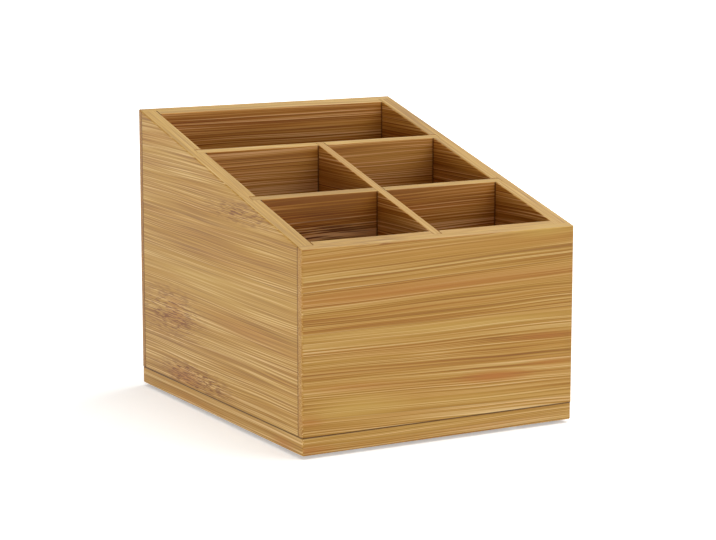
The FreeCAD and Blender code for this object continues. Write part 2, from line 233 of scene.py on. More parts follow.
front_wall = blank("front_wall", (-HALF_WIDTH, -HALF_DEPTH, FOOT), (HALF_WIDTH, -INNER_DEPTH, TALL))
back_wall = blank("back_wall", (-HALF_WIDTH, INNER_DEPTH, FOOT), (HALF_WIDTH, HALF_DEPTH, TALL))
for wall, side in ((front_wall, -1), (back_wall, 1)):
    outer, inner, lip = side * HALF_DEPTH, side * INNER_DEPTH, side * LIP
    at_outer, at_inner = (BLUNT, KEEN) if wall is front_wall else (KEEN, BLUNT)
    cut_to_slope(wall)
    low_y, high_y = sorted((lip, inner - side * OVERRUN))
    for end in (-1, 1):
        low_x, high_x = sorted((end * INNER_WIDTH, end * (HALF_WIDTH + OVERRUN)))
        rout(wall, (low_x, low_y, UNDER), (high_x, high_y, OVER))
    if wall is front_wall:
        rout(wall, (-HALF_GROOVE, MIDDLE_FRONT - END_GAP, UNDER), (HALF_GROOVE, inner + OVERRUN, OVER))
    ease(wall, [
        ("top", {"y": outer}, ARRIS * at_outer), ("top", {"y": inner}, ARRIS * at_inner),
        ("top", {"x": -HALF_WIDTH}, ARRIS), ("top", {"x": HALF_WIDTH}, ARRIS),
        ("foot", {"y": outer}, SEAM), ("foot", {"x": -HALF_WIDTH}, SEAM), ("foot", {"x": HALF_WIDTH}, SEAM),
        ("upright", {"x": -HALF_WIDTH, "y": outer}, CORNER),
        ("upright", {"x": HALF_WIDTH, "y": outer}, CORNER),
        ("upright", {"x": -HALF_WIDTH, "y": lip}, JOINT), ("upright", {"x": HALF_WIDTH, "y": lip}, JOINT),
    ])

# %% [markdown]
# ## The side walls
# They fit between the two lips. Two grooves in the inner face hold the cross dividers, and they run right
# through, so the dividers' ends show as small inlays in the sloping top edge.

# %% Side walls
GROOVE_END = 66.0   # mm from the middle to the bottom of the grooves
FRONT_CROSS = (-30.7, -26.4)   # front and back face of the front cross divider
REAR_CROSS = (25.6, 29.9)      # and of the rear one

left_wall = blank("left_wall", (-HALF_WIDTH, -LIP, FOOT), (-INNER_WIDTH, LIP, TALL))
right_wall = blank("right_wall", (INNER_WIDTH, -LIP, FOOT), (HALF_WIDTH, LIP, TALL))
for wall, side in ((left_wall, -1), (right_wall, 1)):
    outer, inner = side * HALF_WIDTH, side * INNER_WIDTH
    low_x, high_x = sorted((side * GROOVE_END, inner - side * OVERRUN))
    cut_to_slope(wall)
    for front, back in (FRONT_CROSS, REAR_CROSS):
        rout(wall, (low_x, front - PLAY, UNDER), (high_x, back + PLAY, OVER))
    ease(wall, [
        ("top", {"x": outer}, ARRIS), ("top", {"x": inner}, ARRIS), ("foot", {"x": outer}, SEAM),
        ("upright", {"x": outer, "y": -LIP}, JOINT), ("upright", {"x": outer, "y": LIP}, JOINT),
    ])

# %% [markdown]
# ## The dividers
# They are thinner, 4.3 mm. The rear one is grooved to take the end of the middle divider. Where the front
# one and the middle one cross, each is slotted to half its height and they slide into each other: a cross
# lap joint.

# %% Dividers
CROSS_END = GROOVE_END - END_GAP   # mm, half the length of the cross dividers
MIDDLE_BACK = 28.4     # rear end of the middle divider
LAP = 57.7             # height of the cross lap's meeting line
DIVIDER_ARRIS = 0.5    # rounding of the top edges

rear_divider = blank("rear_divider", (-CROSS_END, REAR_CROSS[0], FOOT), (CROSS_END, REAR_CROSS[1], TALL))
front_divider = blank("front_divider", (-CROSS_END, FRONT_CROSS[0], FOOT), (CROSS_END, FRONT_CROSS[1], TALL))
middle_divider = blank("middle_divider", (-HALF_DIVIDER, MIDDLE_FRONT, FOOT),
                       (HALF_DIVIDER, MIDDLE_BACK, TALL))
for divider in (rear_divider, front_divider, middle_divider):
    cut_to_slope(divider)
rout(rear_divider, (-HALF_GROOVE, REAR_CROSS[0] - OVERRUN, UNDER),
     (HALF_GROOVE, MIDDLE_BACK + END_GAP, OVER))
rout(front_divider, (-HALF_GROOVE, FRONT_CROSS[0] - OVERRUN, LAP),
     (HALF_GROOVE, FRONT_CROSS[1] + OVERRUN, OVER))
rout(middle_divider, (-HALF_DIVIDER - OVERRUN, FRONT_CROSS[0] - PLAY, UNDER),
     (HALF_DIVIDER + OVERRUN, FRONT_CROSS[1] + PLAY, LAP + END_GAP))
for divider, (front, back) in ((rear_divider, REAR_CROSS), (front_divider, FRONT_CROSS)):
    ease(divider, [("top", {"y": front}, DIVIDER_ARRIS * BLUNT), ("top", {"y": back}, DIVIDER_ARRIS * KEEN)])
ease(middle_divider, [("top", {"x": x}, DIVIDER_ARRIS) for x in (-HALF_DIVIDER, HALF_DIVIDER)])

# %% [markdown]
# ## Each board takes its place in the frame
# A modelled board stands for its construction piece, which is hidden, and moves with the same body. The
# base board, the screws under it and the four pads have the right shape already and stay as they are.

# %% Put the boards in the frame
BOARDS = {
    "front_panel": front_wall, "back_panel": back_wall, "left_side_panel": left_wall,
    "right_side_panel": right_wall, "rear_cross_divider": rear_divider,
    "front_cross_divider": front_divider, "centre_divider": middle_divider,
}
for node, board in BOARDS.items():
    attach(board, "root")
    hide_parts(node)
    low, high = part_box(node)
    own_low = [min(vertex.co[axis] for vertex in board.data.vertices) for axis in range(3)]
    own_high = [max(vertex.co[axis] for vertex in board.data.vertices) for axis in range(3)]
    gap = max(abs(a - b) for a, b in zip((*low, *high), (*own_low, *own_high)))
    print(f"{board.name} departs from {node} by {gap / MM:.3f} mm at most")

# %% [markdown]
# ## Colours and nodes
# A maker names a colour as it looks on a screen, in sRGB hex. A renderer works with linear light, so one
# function turns the one into the other. Node trees are long, so one small function adds a node, sets it
# and links it.

# %% Colours and nodes
def linear(code):
    """A colour given as sRGB hex digits, turned to linear light."""
    channels = [int(code[place:place + 2], 16) / 255 for place in (0, 2, 4)]
    bright = [c / 12.92 if c <= 0.04045 else ((c + 0.055) / 1.055) ** 2.4 for c in channels]
    return (*bright, 1.0)


def add_node(tree, kind, settings=None, inputs=None):
    """Adds a node and gives its first output. An input that is another node's output is linked."""
    made = tree.nodes.new(f"ShaderNode{kind}")
    for name, value in (settings or {}).items():
        setattr(made, name, value)
    for name, value in (inputs or {}).items():
        if isinstance(value, bpy.types.NodeSocket):
            tree.links.new(value, made.inputs[name])
        else:
            made.inputs[name].default_value = value
    return next((output for output in made.outputs if output.enabled), None)


print("mid bamboo, linear:", [round(c, 3) for c in linear("B18231")])

# %% [markdown]
# ## Sums, mixes and new finishes
# Two kinds of node come again and again, so each has a function of its own: Math works out a number, and
# Mix blends two colours. Every finish starts from the same shader, the Principled BSDF.

# %% Helpers for every material
MIX_INPUTS = (0, 6, 7)   # of a Mix node: the factor and its two colours


def math_node(tree, operation, *values, clamp=False):
    """Adds a Math node that works on one to three values."""
    settings = {"operation": operation, "use_clamp": clamp}
    return add_node(tree, "Math", settings, dict(enumerate(values)))


def mix_node(tree, share, first, second, blend="MIX"):
    """Mixes the second colour into the first, none of it at a share of 0 and all of it at 1."""
    settings = {"data_type": "RGBA", "blend_type": blend}
    return add_node(tree, "Mix", settings, dict(zip(MIX_INPUTS, (share, first, second))))


def new_finish(name):
    """An empty finish: the material, its node tree and its shader."""
    material = bpy.data.materials.new(name)
    material.use_nodes = True
    return material, material.node_tree, material.node_tree.nodes["Principled BSDF"]


print("inputs of a Mix node for colours:", MIX_INPUTS)

# %% [markdown]
# ## Bamboo: the board's own directions
# Laminated bamboo is sliced lengthwise into strips about 20 mm wide, which are glued edge to edge. Every
# mark in it is long and thin, so a pattern has to know the board: along the strips, up across them, and
# through it. Object coordinates give the place in metres. They are turned to millimetres and dealt out in
# that order. No strip is sawn quite true, so the fibres fan: they lean one way low on the board and
# another way high on it. On the sloping top of a side wall the streaks follow the slope, because the
# strip's edge was planed along it.

# %% Board coordinates
FAN_HEIGHTS = (30, 78)   # mm above the desk where the fibres lean as they do low and high on the board
TOP_LOOK = (0.6, 0.9)    # upward part of the normal where a face starts to be a top edge, and is one
MOSTLY = 0.7             # part of the normal from which a face mostly looks that way
LEVEL = 0.99             # upward part of the normal of a level face


def board_place(tree, grain, fan):
    """Gives a place in mm along, up and through the board, its plain y and z, how far it faces x, the ends
    and up, and whether it is level. Grain is the axis of the strips, fan the lean of the fibres low and high
    on the board."""
    here = add_node(tree, "TexCoord").node.outputs
    in_mm = add_node(tree, "VectorMath", {"operation": "SCALE"}, {0: here["Object"], "Scale": 1 / MM})
    x, y, z = add_node(tree, "SeparateXYZ", inputs={0: in_mm}).node.outputs
    normal = add_node(tree, "SeparateXYZ", inputs={0: here["Normal"]}).node.outputs
    facing_x = math_node(tree, "ABSOLUTE", normal["X"])
    facing_y = math_node(tree, "ABSOLUTE", normal["Y"])
    facing_up = add_node(tree, "MapRange", {"interpolation_type": "SMOOTHSTEP"},
                         {"Value": normal["Z"], "From Min": TOP_LOOK[0], "From Max": TOP_LOOK[1]})
    level = math_node(tree, "GREATER_THAN", normal["Z"], LEVEL)
    along, through, ends = (x, y, facing_x) if grain == "X" else (y, x, facing_y)
    if grain == "edges":
        sideways = math_node(tree, "GREATER_THAN", facing_x, MOSTLY)
        along = add_node(tree, "Mix", inputs={0: sideways, 2: x, 3: y})
        through = add_node(tree, "Mix", inputs={0: sideways, 2: y, 3: x})
        ends = 0.0
    lean = add_node(tree, "MapRange", inputs={
        "Value": z, "From Min": FAN_HEIGHTS[0], "From Max": FAN_HEIGHTS[1],
        "To Min": fan[0], "To Max": fan[1]})
    if grain == "Y":
        on_top = math_node(tree, "GREATER_THAN", normal["Z"], MOSTLY)
        lean = math_node(tree, "MULTIPLY_ADD", on_top, SLOPE, lean)
    drop = math_node(tree, "MULTIPLY", along, lean)
    up = math_node(tree, "SUBTRACT", z, drop)
    place = add_node(tree, "CombineXYZ", inputs={0: along, 1: up, 2: through})
    return {"place": place, "along": along, "up": up, "through": through, "y": y, "z": z,
            "facing_x": facing_x, "facing_up": facing_up, "level": level, "ends": ends}


print("fibres lean one way at", FAN_HEIGHTS[0], "mm and another at", FAN_HEIGHTS[1], "mm")

# %% [markdown]
# ## Bamboo: strips
# Each strip came from another part of the stalk, so it differs a little in tone, and its fibres stop at
# the glue line. The strip's number picks both its tone and another piece of the noise.

# %% Strips and their glue lines
STRIP = 19.85       # mm from one glue line to the next
GLUE_REACH = 0.35   # mm from the middle of a glue line to where it is gone


def strips(tree, up, first_line):
    """The strip's number and how near the place is to a glue line, from 0 to 1."""
    count = add_node(tree, "MapRange", {"clamp": False},
                     {"Value": up, "From Min": first_line, "From Max": first_line + STRIP})
    number = math_node(tree, "FLOOR", count)
    part = math_node(tree, "PINGPONG", count, 0.5)
    line = add_node(tree, "MapRange", {"interpolation_type": "SMOOTHSTEP"},
                    {"Value": part, "From Max": GLUE_REACH / STRIP, "To Min": 1.0, "To Max": 0.0})
    return number, line


print("strips in the back wall:", round((BACK_TOP - FOOT) / STRIP, 1))

# %% [markdown]
# ## Bamboo: fibres and streaks
# The eye sees, from large to small: pale and dark bands, streaks of one or two mm that run nearly the
# whole length of the board, and fine fibres. Each is noise drawn out along the strips. The real fibres
# are 0.2 to 0.4 mm wide, too fine to show from here, so the finest pattern is drawn nearly 0.5 mm wide. A
# slow wave pushes them all up and down a little, because bamboo never grows quite straight.

# %% Fibre patterns
PATTERNS = {   # length along the strips, height across them and depth, all in mm, then the noise's detail
    "broad": (300, 12.0, 12.0, 0.0),
    "bands": (200, 5.0, 5.0, 0.0),
    "streaks": (150, 2.2, 2.2, 0.0),
    "fine": (130, 1.1, 1.1, 0.0),
    "fibres": (100, 0.46, 0.46, 0.0),
    "hues": (110, 5.0, 5.0, 1.0),
    "dashes": (10, 0.45, 0.45, 1.0),
    "threads": (26, 0.62, 0.62, 1.0),
}
WAVE = (80, 12, 25)    # mm along, up and through the board from one wave to the next
WAVE_HEIGHT = 1.2      # mm, how far the wave pushes up or down
STRIP_SHIFT = 31.7     # mm through the noise from one strip to the next
PATTERN_SHIFT = 7.3    # cells of noise from one pattern to the next


def fibre_patterns(tree, at, number, seed, run):
    """Draws every pattern along the board and anew in each strip. Run tells how far the streaks run."""
    slow = add_node(tree, "Mapping", inputs={"Vector": at["place"], "Scale": [1 / size for size in WAVE]})
    wave = add_node(tree, "TexNoise", inputs={"Vector": slow, "Scale": 1.0, "Detail": 1.0})
    push = add_node(tree, "MapRange", inputs={
        "Value": wave, "To Min": -WAVE_HEIGHT, "To Max": WAVE_HEIGHT})
    wavy = math_node(tree, "ADD", at["up"], push)
    slide = math_node(tree, "MULTIPLY_ADD", number, STRIP_SHIFT, at["through"])
    place = add_node(tree, "CombineXYZ", inputs={0: at["along"], 1: wavy, 2: slide})
    noise = {}
    for order, (name, (length, height, depth, detail)) in enumerate(PATTERNS.items()):
        start = [seed + PATTERN_SHIFT * order] * 3
        size = (1 / (length * run), 1 / height, 1 / depth)
        drawn = add_node(tree, "Mapping", inputs={"Vector": place, "Scale": size, "Location": start})
        noise[name] = add_node(tree, "TexNoise", inputs={"Vector": drawn, "Scale": 1.0, "Detail": detail})
    return noise


print("patterns:", ", ".join(PATTERNS))

# %% [markdown]
# ## Bamboo: marks at chosen places
# Broad marks, such as a pale band or the reddish brown patch at a node of the stalk, are placed one by one
# to follow the real boards. Each is a soft ellipse: a spherical gradient seen through a mapping that
# squeezes it to its size in mm.

# %% Soft marks
KINDS = ("light", "red", "yellow", "node", "burnt")


def marks_of(tree, place, marks, kind):
    """Adds up the soft ellipses of one kind, each given as kind, along, up, half length, half height and
    strength."""
    total = 0.0
    for name, along, up, half_length, half_height, strength in marks:
        if name == kind:
            squeeze = (1 / half_length, 1 / half_height, 0)
            shift = (-along / half_length, -up / half_height, 0)
            local = add_node(tree, "Mapping", inputs={"Vector": place, "Scale": squeeze, "Location": shift})
            soft = add_node(tree, "TexGradient", {"gradient_type": "SPHERICAL"}, {"Vector": local})
            soft = soft.node.outputs["Fac"]
            total = math_node(tree, "MULTIPLY_ADD", soft, strength, total)
    return total


print("kinds of marks:", ", ".join(KINDS))

# %% [markdown]
# ## Bamboo: from tone to colour
# Carbonised bamboo is steamed until its sugars turn light brown. The patterns, the strip's own tone and
# the pale and dark marks add up to one number, and a colour ramp turns it to a brown between two ends:
# nearly burnt fibres and pale pith. One number for all of them keeps the light and dark streaks in one
# family of colours.

# %% Tone and colour
RAMP = ((0.0, "814D0A"), (0.25, "9A6715"), (0.5, "B18231"), (0.75, "C29952"), (1.0, "E0BF86"))
TONES = {"broad": 0.28, "bands": 0.03, "streaks": 0.03, "fine": 0.13, "fibres": 1.45}   # each one's share
MID_TONE = 0.5       # what the tones of the strips lie around
STRIP_TONES = 0.05   # from the darkest strip to the palest


def bamboo_tone(tree, noise, number, seed, contrast):
    """Adds the patterns up to a tone from 0, dark, to 1, pale."""
    own_number = math_node(tree, "ADD", number, seed)
    own_tone = add_node(tree, "TexWhiteNoise", {"noise_dimensions": "1D"}, {"W": own_number})
    tone = math_node(tree, "MULTIPLY_ADD", own_tone, STRIP_TONES, MID_TONE - STRIP_TONES / 2)
    for name, weight in TONES.items():
        weight = weight * contrast
        centred = math_node(tree, "MULTIPLY_ADD", noise[name], weight, -weight / 2)
        tone = math_node(tree, "ADD", tone, centred)
    return tone


def ramp_colour(tree, tone):
    """Turns a tone to the brown of carbonised bamboo."""
    ramp = add_node(tree, "ValToRGB", inputs={"Fac": tone}).node
    while len(ramp.color_ramp.elements) < len(RAMP):
        ramp.color_ramp.elements.new(0.5)
    for element, (position, code) in zip(ramp.color_ramp.elements, RAMP):
        element.position = position
        element.color = linear(code)
    return ramp.outputs["Color"]


print("tones from", RAMP[0][1], "to", RAMP[-1][1])

# %% [markdown]
# ## Bamboo: reddish and yellowish zones
# The colour also wanders between reddish and yellowish, since some strips were steamed longer. A noise of
# its own decides where, and marks of those two kinds add to it.

# %% Hues
HUES = {   # where the noise starts and ends to count, how much at most, and the colour
    "red": (0.5, 0.8, 0.2, "B06C26"),
    "yellow": (0.5, 0.2, 0.25, "BC9440"),
}


def shift_hue(tree, colour, at, noise, marks):
    """Mixes the reddish and yellowish zones into a colour."""
    for kind, (start, end, most, code) in HUES.items():
        zones = add_node(tree, "MapRange", inputs={
            "Value": noise["hues"], "From Min": start, "From Max": end, "To Max": most})
        placed = marks_of(tree, at["place"], marks, kind)
        share = math_node(tree, "ADD", zones, placed, clamp=True)
        colour = mix_node(tree, share, colour, linear(code))
    return colour


print("hues:", ", ".join(HUES))

# %% [markdown]
# ## Bamboo: nodes and glue lines
# Where the stalk had a node its fibres turn, and short dark dashes show. They are a noise of short cells
# that only counts inside the marks for nodes. Burnt threads are drawn the same way, but longer. A glue
# line is a hair's breadth of slightly darker brown.

# %% Nodes and glue
DARK_MARKS = {   # the pattern that shows inside the mark, where it starts and is full, and its brown
    "node": ("dashes", 0.48, 0.62, "7C4606"),
    "burnt": ("threads", 0.42, 0.60, "5C2A04"),
}
GLUE_BROWN = "8A5D2C"
GLUE_SHARE = 0.3   # how much of its brown a glue line shows


def nodes_and_glue(tree, colour, at, noise, line, marks):
    """Draws the dark dashes of the nodes, the burnt threads and the lines between the strips."""
    for kind, (pattern, start, full, code) in DARK_MARKS.items():
        within = marks_of(tree, at["place"], marks, kind)
        dark = add_node(tree, "MapRange", {"interpolation_type": "SMOOTHSTEP"},
                        {"Value": noise[pattern], "From Min": start, "From Max": full})
        dark = math_node(tree, "MULTIPLY", dark, within, clamp=True)
        colour = mix_node(tree, dark, colour, linear(code))
    glued = math_node(tree, "MULTIPLY", line, GLUE_SHARE)
    return mix_node(tree, glued, colour, linear(GLUE_BROWN))


print("dark marks:", ", ".join(DARK_MARKS))

# %% [markdown]
# ## Bamboo: ends and top edges
# A strip that is sawn across shows the cut ends of its fibres, a little darker and all alike. The top
# edges are planed along the strip and show its paler side. Both are told by the way the face looks.

# %% Ends and top edges
END_BROWN = "B4823E"
END_SHARE = 0.25         # how much of that brown a sawn end shows
END_LOOK = (0.5, 0.95)   # part of the normal where a face starts to be an end, and is one
EDGE_BROWN = "B29850"
EDGE_SHARE = 0.3         # how much of that brown a planed edge shows


def cut_faces(tree, colour, at):
    """Gives the sawn ends and the planed top edges their own brown."""
    end = add_node(tree, "MapRange", {"interpolation_type": "SMOOTHSTEP"},
                   {"Value": at["ends"], "From Min": END_LOOK[0], "From Max": END_LOOK[1],
                    "To Max": END_SHARE})
    colour = mix_node(tree, end, colour, linear(END_BROWN))
    pale = math_node(tree, "MULTIPLY", at["facing_up"], EDGE_SHARE)
    return mix_node(tree, pale, colour, linear(EDGE_BROWN))


print("sawn ends:", END_BROWN, "and planed edges:", EDGE_BROWN)

# %% [markdown]
# ## Bamboo: painted shade at the joints
# The fine grooves where boards meet get a line of painted shade. Such a line lies 80.1 mm from the middle on
# a side face, where the lips lap the side walls, and another at the foot of the walls, but not on the level
# floors of the bins at the same height. Inside the box the boards that meet at right angles get a line of
# painted shade in the corner.

# %% Painted shade at the joints
# painted shade along each kind of joint: how wide its line is and how dark
JOINT_SHADE_LINES = {   # mm from its middle where the line starts to fade and is gone, and its strength
    "foot": (0.1, 0.55, 0.85),
    "lip": (0.1, 0.6, 0.8),
    "corner": (0.2, 1.1, 0.95),
}


def shade_line_at(tree, distance, place, joint):
    """A soft line of painted shade at one kind of joint, where a distance in mm comes to a place."""
    fades, gone, strength = JOINT_SHADE_LINES[joint]
    beside = math_node(tree, "SUBTRACT", distance, place)
    off_line = math_node(tree, "ABSOLUTE", beside)
    return add_node(tree, "MapRange", inputs={
        "Value": off_line, "From Min": fades, "From Max": gone, "To Min": strength, "To Max": 0.0})


def joint_shade_lines(tree, at, corners):
    """How much painted shade a place gets at the joints, from 0 to 1. Corners are distances in mm from the
    middle.
    """
    shade_at_foot = math_node(tree, "SUBTRACT", shade_line_at(tree, at["z"], FOOT, "foot"), at["level"], clamp=True)
    off_middle = math_node(tree, "ABSOLUTE", at["y"])
    on_wall = math_node(tree, "GREATER_THAN", at["z"], FOOT)
    on_side = math_node(tree, "MULTIPLY", on_wall, at["facing_x"])
    shade_at_lip = math_node(tree, "MULTIPLY", shade_line_at(tree, off_middle, LIP, "lip"), on_side)
    joint = math_node(tree, "MAXIMUM", shade_at_lip, shade_at_foot)
    from_middle = math_node(tree, "ABSOLUTE", at["along"])
    for corner in corners:
        shade_at_corner = shade_line_at(tree, from_middle, corner, "corner")
        joint = math_node(tree, "MAXIMUM", joint, shade_at_corner)
    return joint


print("kinds of joints:", ", ".join(JOINT_SHADE_LINES))

# %% [markdown]
# ## Bamboo: the wood of a board
# Here the steps above come together, in the order in which a board gets its colours: tone, hue, nodes and
# glue lines, cut faces, painted shade at the joints. The boards' faces inside the box get painted shade too:
# a darker and redder brown, with stronger streaks.

# %% The wood of a board
INNER_CONTRAST = 1.4    # the faces inside the box have stronger streaks
INNER_SHADE_TONE = 0.075      # painted shade: the inside is darker
INNER_SHADE_TINT = "FFE0DB"   # painted shade: and a little redder, as light bounced between the boards would make it
TOP_TONE = -0.05        # top edges catch more light than the upright faces, so their tone comes down
# the brown of the painted shade at the joints
JOINT_SHADE_BROWN = "552E00"


def wood_of_board(tree, inside, grain, fan, first_line, seed, run=1.0, marks=(), contrast=1.22, brown=0.65,
                  corners=()):
    """A board's colour and its noise. Brown tells how much painted shade, darker and redder, the inside
    gets.
    """
    at = board_place(tree, grain, fan)
    number, line = strips(tree, at["up"], first_line)
    noise = fibre_patterns(tree, at, number, seed, run)
    tone = bamboo_tone(tree, noise, number, seed, INNER_CONTRAST if inside else contrast)
    light = marks_of(tree, at["place"], marks, "light")
    light = math_node(tree, "MULTIPLY_ADD", at["facing_up"], TOP_TONE, light)
    tone = math_node(tree, "ADD", tone, light)
    # painted shade: the faces inside the box are made darker
    if inside:
        tone = math_node(tree, "SUBTRACT", tone, INNER_SHADE_TONE * brown)
    colour = shift_hue(tree, ramp_colour(tree, tone), at, noise, marks)
    # painted shade: and redder, as light bounced between the boards would make them
    if inside:
        colour = mix_node(tree, brown, colour, linear(INNER_SHADE_TINT), blend="MULTIPLY")
    colour = nodes_and_glue(tree, colour, at, noise, line, marks)
    colour = cut_faces(tree, colour, at)
    # painted shade at the foot, along the lips and in the inner corners
    joint = joint_shade_lines(tree, at, corners if inside else ())
    colour = mix_node(tree, joint, colour, linear(JOINT_SHADE_BROWN))
    return colour, noise


print("joints are", JOINT_SHADE_BROWN, "and the inside is tinted", INNER_SHADE_TINT)

# %% [markdown]
# ## Bamboo: the coat
# The box is coated after it is glued up. A pad with clear satin varnish reaches the outside and the top
# edges, which get a soft, even shine. The insides of the bins are only sanded, so they are matt. A
# roughness that changes with the streaks and a very fine relief of the fibres break up the light on both.

# %% Carbonised laminated bamboo, coated or sanded
WOOD_IOR = 1.5             # of varnish and of wood alike
COATED = 0.36              # specular level under the satin coat
MATT = 0.2                 # and of wood that is only sanded
ROUGHNESS = (0.52, 0.40)   # in dark streaks and in pale ones
RELIEF = 0.05              # mm, depth of the fibres


def laminated_bamboo(name, inside, **sort):
    """The whole finish of a board inside the box or outside it. Sort is what wood_of_board asks for."""
    material, tree, shader = new_finish(name)
    colour, noise = wood_of_board(tree, inside, **sort)
    rough = add_node(tree, "MapRange", inputs={
        "Value": noise["streaks"], "To Min": ROUGHNESS[0], "To Max": ROUGHNESS[1]})
    relief = add_node(tree, "Bump", inputs={
        "Strength": 0.25, "Distance": RELIEF * MM, "Height": noise["fibres"]})
    tree.links.new(colour, shader.inputs["Base Color"])
    tree.links.new(rough, shader.inputs["Roughness"])
    tree.links.new(relief, shader.inputs["Normal"])
    shader.inputs["IOR"].default_value = WOOD_IOR
    shader.inputs["Specular IOR Level"].default_value = MATT if inside else COATED
    print(f"{name}: {len(tree.nodes)} nodes")
    return material


print("specular level of coated and of sanded wood:", COATED, MATT)

# %% [markdown]
# ## The marks of the front wall
# The front wall is what one sees first, so its larger marks are set one by one: pale bands, long light
# streaks, reddish and yellowish zones, and the dashes of a node on its top edge. Each line gives the kind,
# the middle along and up the board, half its length and height in mm, and its strength.

# %% Marks on the front wall
FRONT_MARKS = [
    ("light", 0, 87, 150, 7, -0.13),
    ("red", 0, 87, 160, 7, 0.30),
    ("yellow", 0, 86, 150, 8, 0.30),
    ("node", -31, 93.2, 17, 1.9, 1.9),
    ("light", 0, 52.5, 110, 2.6, 0.16),
    ("light", -45, 52.5, 45, 3.0, 0.08),
    ("light", -42, 19.5, 30, 6, 0.22),
    ("yellow", -42, 19.5, 34, 7, 0.80),
    ("yellow", 20, 18, 60, 6, 0.45),
    # a paler band low on the front, partly its own tone and partly painted light that lifts the bottom,
    # where the floor near the box gives less light
    ("light", 10, 15, 160, 12, 0.18),
    ("yellow", 0, 52, 110, 4, 0.60),
    ("yellow", 55, 89, 22, 4, 0.60),
    ("light", -5, 40, 22, 2.2, 0.13),
    ("light", 58, 38, 22, 3.0, 0.12),
    ("light", 55, 88, 25, 3.5, 0.08),
    ("light", -10, 77.6, 75, 0.8, 0.13),
    ("light", -40, 75.0, 45, 0.7, 0.12),
    ("light", -45, 64.6, 45, 0.7, 0.12),
    ("light", -20, 60.5, 70, 0.7, 0.12),
    ("light", 50, 79, 50, 3, 0.10),
    ("light", 55, 34.8, 30, 0.7, 0.16),
    ("light", 28, 27.5, 22, 3.0, -0.16),
    ("light", 28, 44, 14, 1.0, -0.20),
    ("light", 55, 43, 22, 1.6, -0.08),
    ("light", -45, 28.5, 40, 2.0, -0.10),
    ("red", 0, 70, 130, 5, 0.55),
    ("red", 28, 27.5, 26, 3.5, 0.90),
    ("red", -45, 28.5, 40, 2.5, 0.50),
    ("red", 55, 43, 28, 2.5, 0.55),
    ("red", 58, 31.5, 20, 2.5, 0.55),
    ("red", -66, 15, 9, 4, 0.55),
]
print("marks on the front wall:", len(FRONT_MARKS))

# %% [markdown]
# ## The marks of the left wall
# Three places on it show where the stalk had a node: reddish brown, with short dark dashes. A wide pale
# band crosses it half-way up.

# %% Marks on the left wall
LEFT_MARKS = [
    ("yellow", 0, 60, 500, 400, 0.22),
    ("light", 10, 64, 130, 11, 0.23),
    ("yellow", 10, 64, 130, 11, 0.40),
    ("light", -10, 66, 100, 8, -0.04),
    ("light", 30, 116, 80, 8, 0.16),
    ("light", 54, 104, 45, 0.9, 0.14),
    ("light", 20, 84, 120, 10, -0.18),
    ("light", -40, 47, 60, 4, -0.20),
    ("light", 48, 26, 70, 1.2, 0.14),
    ("light", 0, 20, 160, 14, 0.16),
    ("light", 44, 45, 12, 8, -0.05),
    ("light", 36, 14, 20, 4.5, -0.14),
    ("red", -40, 47, 60, 4, 0.40),
    ("red", 44, 44, 14, 9, 0.50),
    ("red", 34, 14, 24, 5.5, 0.80),
    ("node", 50, 42, 44, 16, 1.5),
    ("node", 24, 15, 48, 7.5, 2.2),
    ("node", -26, 100, 44, 6.5, 1.5),
]
print("marks on the left wall:", len(LEFT_MARKS))

# %% [markdown]
# ## The marks of the other boards
# Fewer marks are enough where less of a board shows. On the boards in the bins most of the pale and dark
# marks are painted light and painted shade, set to how the light falls there. The front divider's left half
# is the darkest strip of the whole box: it has burnt threads, painted shade high on it and painted light
# lower down. The base has a reddish corner and one dark streak along its edge.

# %% Marks on the other boards
# painted shade: a dark band 2 mm wide down the back wall's left end, where its rounded corner turns away
# from the light
BACK_MARKS = [
    ("light", -70, 75, 2, 200, -0.45),
]
# painted shade high on the right wall's inside towards the back, and painted light lower towards the front
RIGHT_MARKS = [
    ("light", 50, 112, 50, 20, -0.44),
    ("light", -58, 88, 36, 16, 0.14),
]
# painted light on the rear divider's front face; its yellow zone is its own hue
REAR_MARKS = [
    ("yellow", 32, 114, 50, 14, 0.40),
    ("light", -30, 100, 70, 14, 0.37),
    ("light", 32, 106, 50, 22, 0.25),
]
# painted shade high on the front divider and painted light lower down, on both halves; the yellow and the
# burnt threads are its own
CROSS_MARKS = [
    ("light", -32, 103, 60, 12, -0.62),
    ("light", -32, 88, 60, 11, 0.74),
    ("light", 33, 86, 60, 13, 0.28),
    ("light", 33, 104, 60, 9, -0.10),
    ("yellow", 33, 104, 60, 12, 0.35),
    ("yellow", -32, 104, 60, 10, 0.25),
    ("burnt", -34, 89, 48, 12, 1.15),
]
MIDDLE_MARKS = [
    ("light", 0, 105, 300, 60, 0.03),
    ("red", 0, 105, 300, 60, 0.15),
]
BASE_MARKS = [
    ("light", 0, 6, 260, 14, 0.06),
    ("yellow", 0, 6, 260, 20, 0.15),
    ("red", -66, 4, 14, 3, 0.70),
    ("red", 30, 4, 40, 2.5, 0.35),
    ("light", 0, 5.5, 90, 0.7, -0.20),
]
print("marks on the base:", len(BASE_MARKS))

# %% [markdown]
# ## Coated or sanded
# One board has both finishes: coated where it shows outside and on the sloping top, sanded where it looks
# into the box, and the sanded one also carries the painted shade of the inside. By hand its faces would be
# picked and given a slot. In code they are told apart by where they are and which way they look.

# %% Faces that look into the box
COATED_RIM = 1.0   # mm from the outside within which every face is coated


def looks_inwards(face):
    """True for a face within the box that isn't part of the sloping top."""
    middle = face.center / MM
    within = abs(middle.x) < HALF_WIDTH - COATED_RIM and abs(middle.y) < HALF_DEPTH - COATED_RIM
    return within and face.normal.z < TOP_LOOK[0]


print("faces of the front wall that look inwards:", sum(map(looks_inwards, front_wall.data.polygons)))
